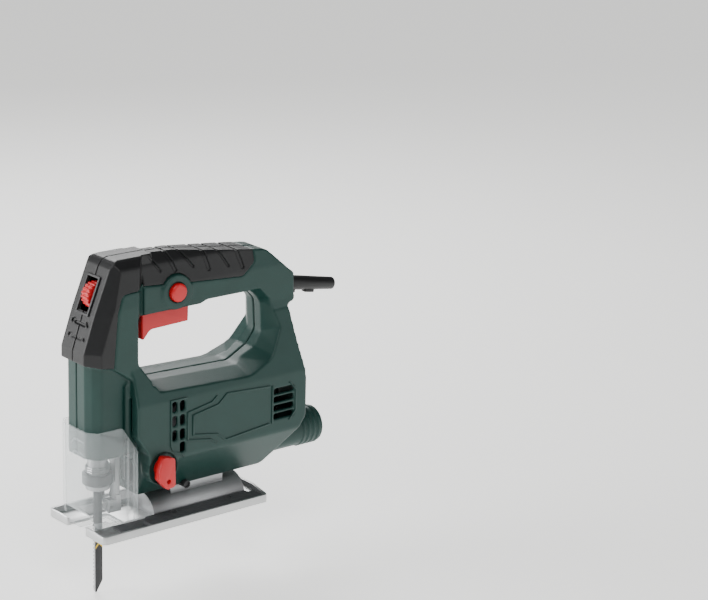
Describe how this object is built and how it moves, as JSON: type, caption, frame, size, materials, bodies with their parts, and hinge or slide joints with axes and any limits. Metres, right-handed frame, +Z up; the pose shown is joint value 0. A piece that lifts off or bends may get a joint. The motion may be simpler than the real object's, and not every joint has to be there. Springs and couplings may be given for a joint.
{
  "type": "jigsaw power tool",
  "caption": "D-handle jigsaw with motor and gear train, tool-free blade clamp, clear chip guard, orbit lever, dust port and tilting sole.",
  "frame": {"origin": "On the sole's flat underside, on the tool's middle plane, on solid plate 30 mm behind the blade's axis.", "axes": "+X runs to the rear of the tool, +Y to its right side, +Z up from the sole along the blade."},
  "size_m": [0.2378, 0.0756, 0.2565],
  "materials": {
    "casing_green": "dark green textured plastic",
    "grip_black": "black soft grip",
    "control_red": "red plastic controls",
    "clear_plastic": "clear polycarbonate",
    "bright_steel": "bright steel",
    "cast_zinc": "cast light metal",
    "panel_grey": "dark grey moulded plastic",
    "blade_black": "black coated blade steel",
    "copper": "copper windings and bars",
    "core_iron": "laminated iron",
    "dark_plastic": "dark moulded plastic",
    "carbon": "carbon"
  },
  "bodies": {
    "housing": {"housing_left": "casing_green", "housing_right": "casing_green", "grip_left": "grip_black", "grip_right": "grip_black", "casing_screw_1": "bright_steel", "casing_screw_2": "bright_steel", "casing_screw_3": "bright_steel", "casing_screw_4": "bright_steel", "casing_screw_5": "bright_steel", "casing_screw_6": "bright_steel", "stator": "core_iron", "bearing_front": "bright_steel", "bearing_rear": "bright_steel", "brush_left": "carbon", "brush_right": "carbon", "brush_holder_left": "dark_plastic", "brush_holder_right": "dark_plastic", "gear_axle": "bright_steel", "lower_bush": "cast_zinc", "upper_bush": "cast_zinc", "fork_pin": "bright_steel", "wheel_pin": "bright_steel", "speed_module": "dark_plastic", "switch_body": "dark_plastic", "dust_nozzle": "casing_green", "cable_sleeve": "grip_black", "tilt_saddle": "cast_zinc", "clamp_shoe": "bright_steel", "tilt_screw": "bright_steel", "trigger_spring": "bright_steel"},
    "armature": {"armature_shaft": "bright_steel", "armature_core": "copper", "commutator": "copper", "fan": "dark_plastic"},
    "gear": {"drive_gear": "bright_steel", "crank_roller": "bright_steel"},
    "plunger": {"plunger": "bright_steel", "blade_holder": "dark_plastic", "saw_blade": "blade_black", "clamp_spring": "bright_steel"},
    "clamp_collar": {"clamp_lever": "dark_plastic"},
    "fork": {"orbit_fork": "cast_zinc", "roller_pin": "bright_steel"},
    "roller": {"backing_roller": "bright_steel"},
    "orbit_selector": {"orbit_lever": "control_red"},
    "trigger": {"trigger": "control_red"},
    "lock_on": {"lock_button": "control_red"},
    "speed_dial": {"speed_wheel": "control_red"},
    "guard": {"chip_guard": "clear_plastic"},
    "sole": {"sole_plate": "bright_steel", "sole_cover_left": "panel_grey", "sole_cover_right": "panel_grey", "splinter_insert": "panel_grey", "tilt_bracket": "cast_zinc"}
  },
  "joints": [
    {"name": "gear_spin", "type": "hinge", "parent": "housing", "child": "gear", "pos_m": [-0.0096, 0, 0.098], "axis": [1, 0, 0], "range_deg": [-90, 90]},
    {"name": "armature_spin", "type": "hinge", "parent": "housing", "child": "armature", "pos_m": [0.04, 0, 0.076], "axis": [1, 0, 0], "range_deg": [-406, 406]},
    {"name": "plunger_slide", "type": "slide", "parent": "housing", "child": "plunger", "axis": [0, 0, 1], "range_m": [-0.009, 0.009]},
    {"name": "clamp_turn", "type": "hinge", "parent": "plunger", "child": "clamp_collar", "pos_m": [-0.03, 0, 0.0375], "axis": [0, 0, 1], "range_deg": [0, 50], "stiffness_Nm_per_rad": 0.03, "springref_deg": -22.92},
    {"name": "fork_swing", "type": "hinge", "parent": "housing", "child": "fork", "pos_m": [-0.0105, 0, 0.0535], "axis": [0, 1, 0], "range_deg": [-4, 0], "stiffness_Nm_per_rad": 0.4, "springref_deg": 5.73},
    {"name": "roller_spin", "type": "hinge", "parent": "fork", "child": "roller", "pos_m": [-0.0218, 0, 0.0135], "axis": [0, 1, 0], "continuous": true},
    {"name": "orbit_select", "type": "hinge", "parent": "housing", "child": "orbit_selector", "pos_m": [0.0065, -0.033, 0.046], "axis": [0, 1, 0], "range_deg": [-45, 45]},
    {"name": "trigger_press", "type": "slide", "parent": "housing", "child": "trigger", "axis": [0, 0, 1], "range_m": [0, 0.005], "stiffness_N_per_m": 600, "springref_m": -0.005, "deforming": ["trigger_spring"]},
    {"name": "lock_press", "type": "slide", "parent": "housing", "child": "lock_on", "axis": [0, 1, 0], "range_m": [0, 0.0025], "stiffness_N_per_m": 400, "springref_m": -0.002},
    {"name": "speed_turn", "type": "hinge", "parent": "housing", "child": "speed_dial", "pos_m": [-0.0307, 0, 0.1763], "axis": [0, 1, 0], "range_deg": [-150, 150]},
    {"name": "guard_lift", "type": "slide", "parent": "housing", "child": "guard", "axis": [0, 0, 1], "range_m": [0, 0.03]},
    {"name": "sole_tilt", "type": "hinge", "parent": "housing", "child": "sole", "pos_m": [0, 0, 0], "axis": [1, 0, 0], "range_deg": [-10, 10]}
  ],
  "couplings": [
    {"joint": "gear_spin", "follows": "plunger_slide", "rad_per_m": 174.5},
    {"joint": "armature_spin", "follows": "plunger_slide", "rad_per_m": -785.25}
  ]
}
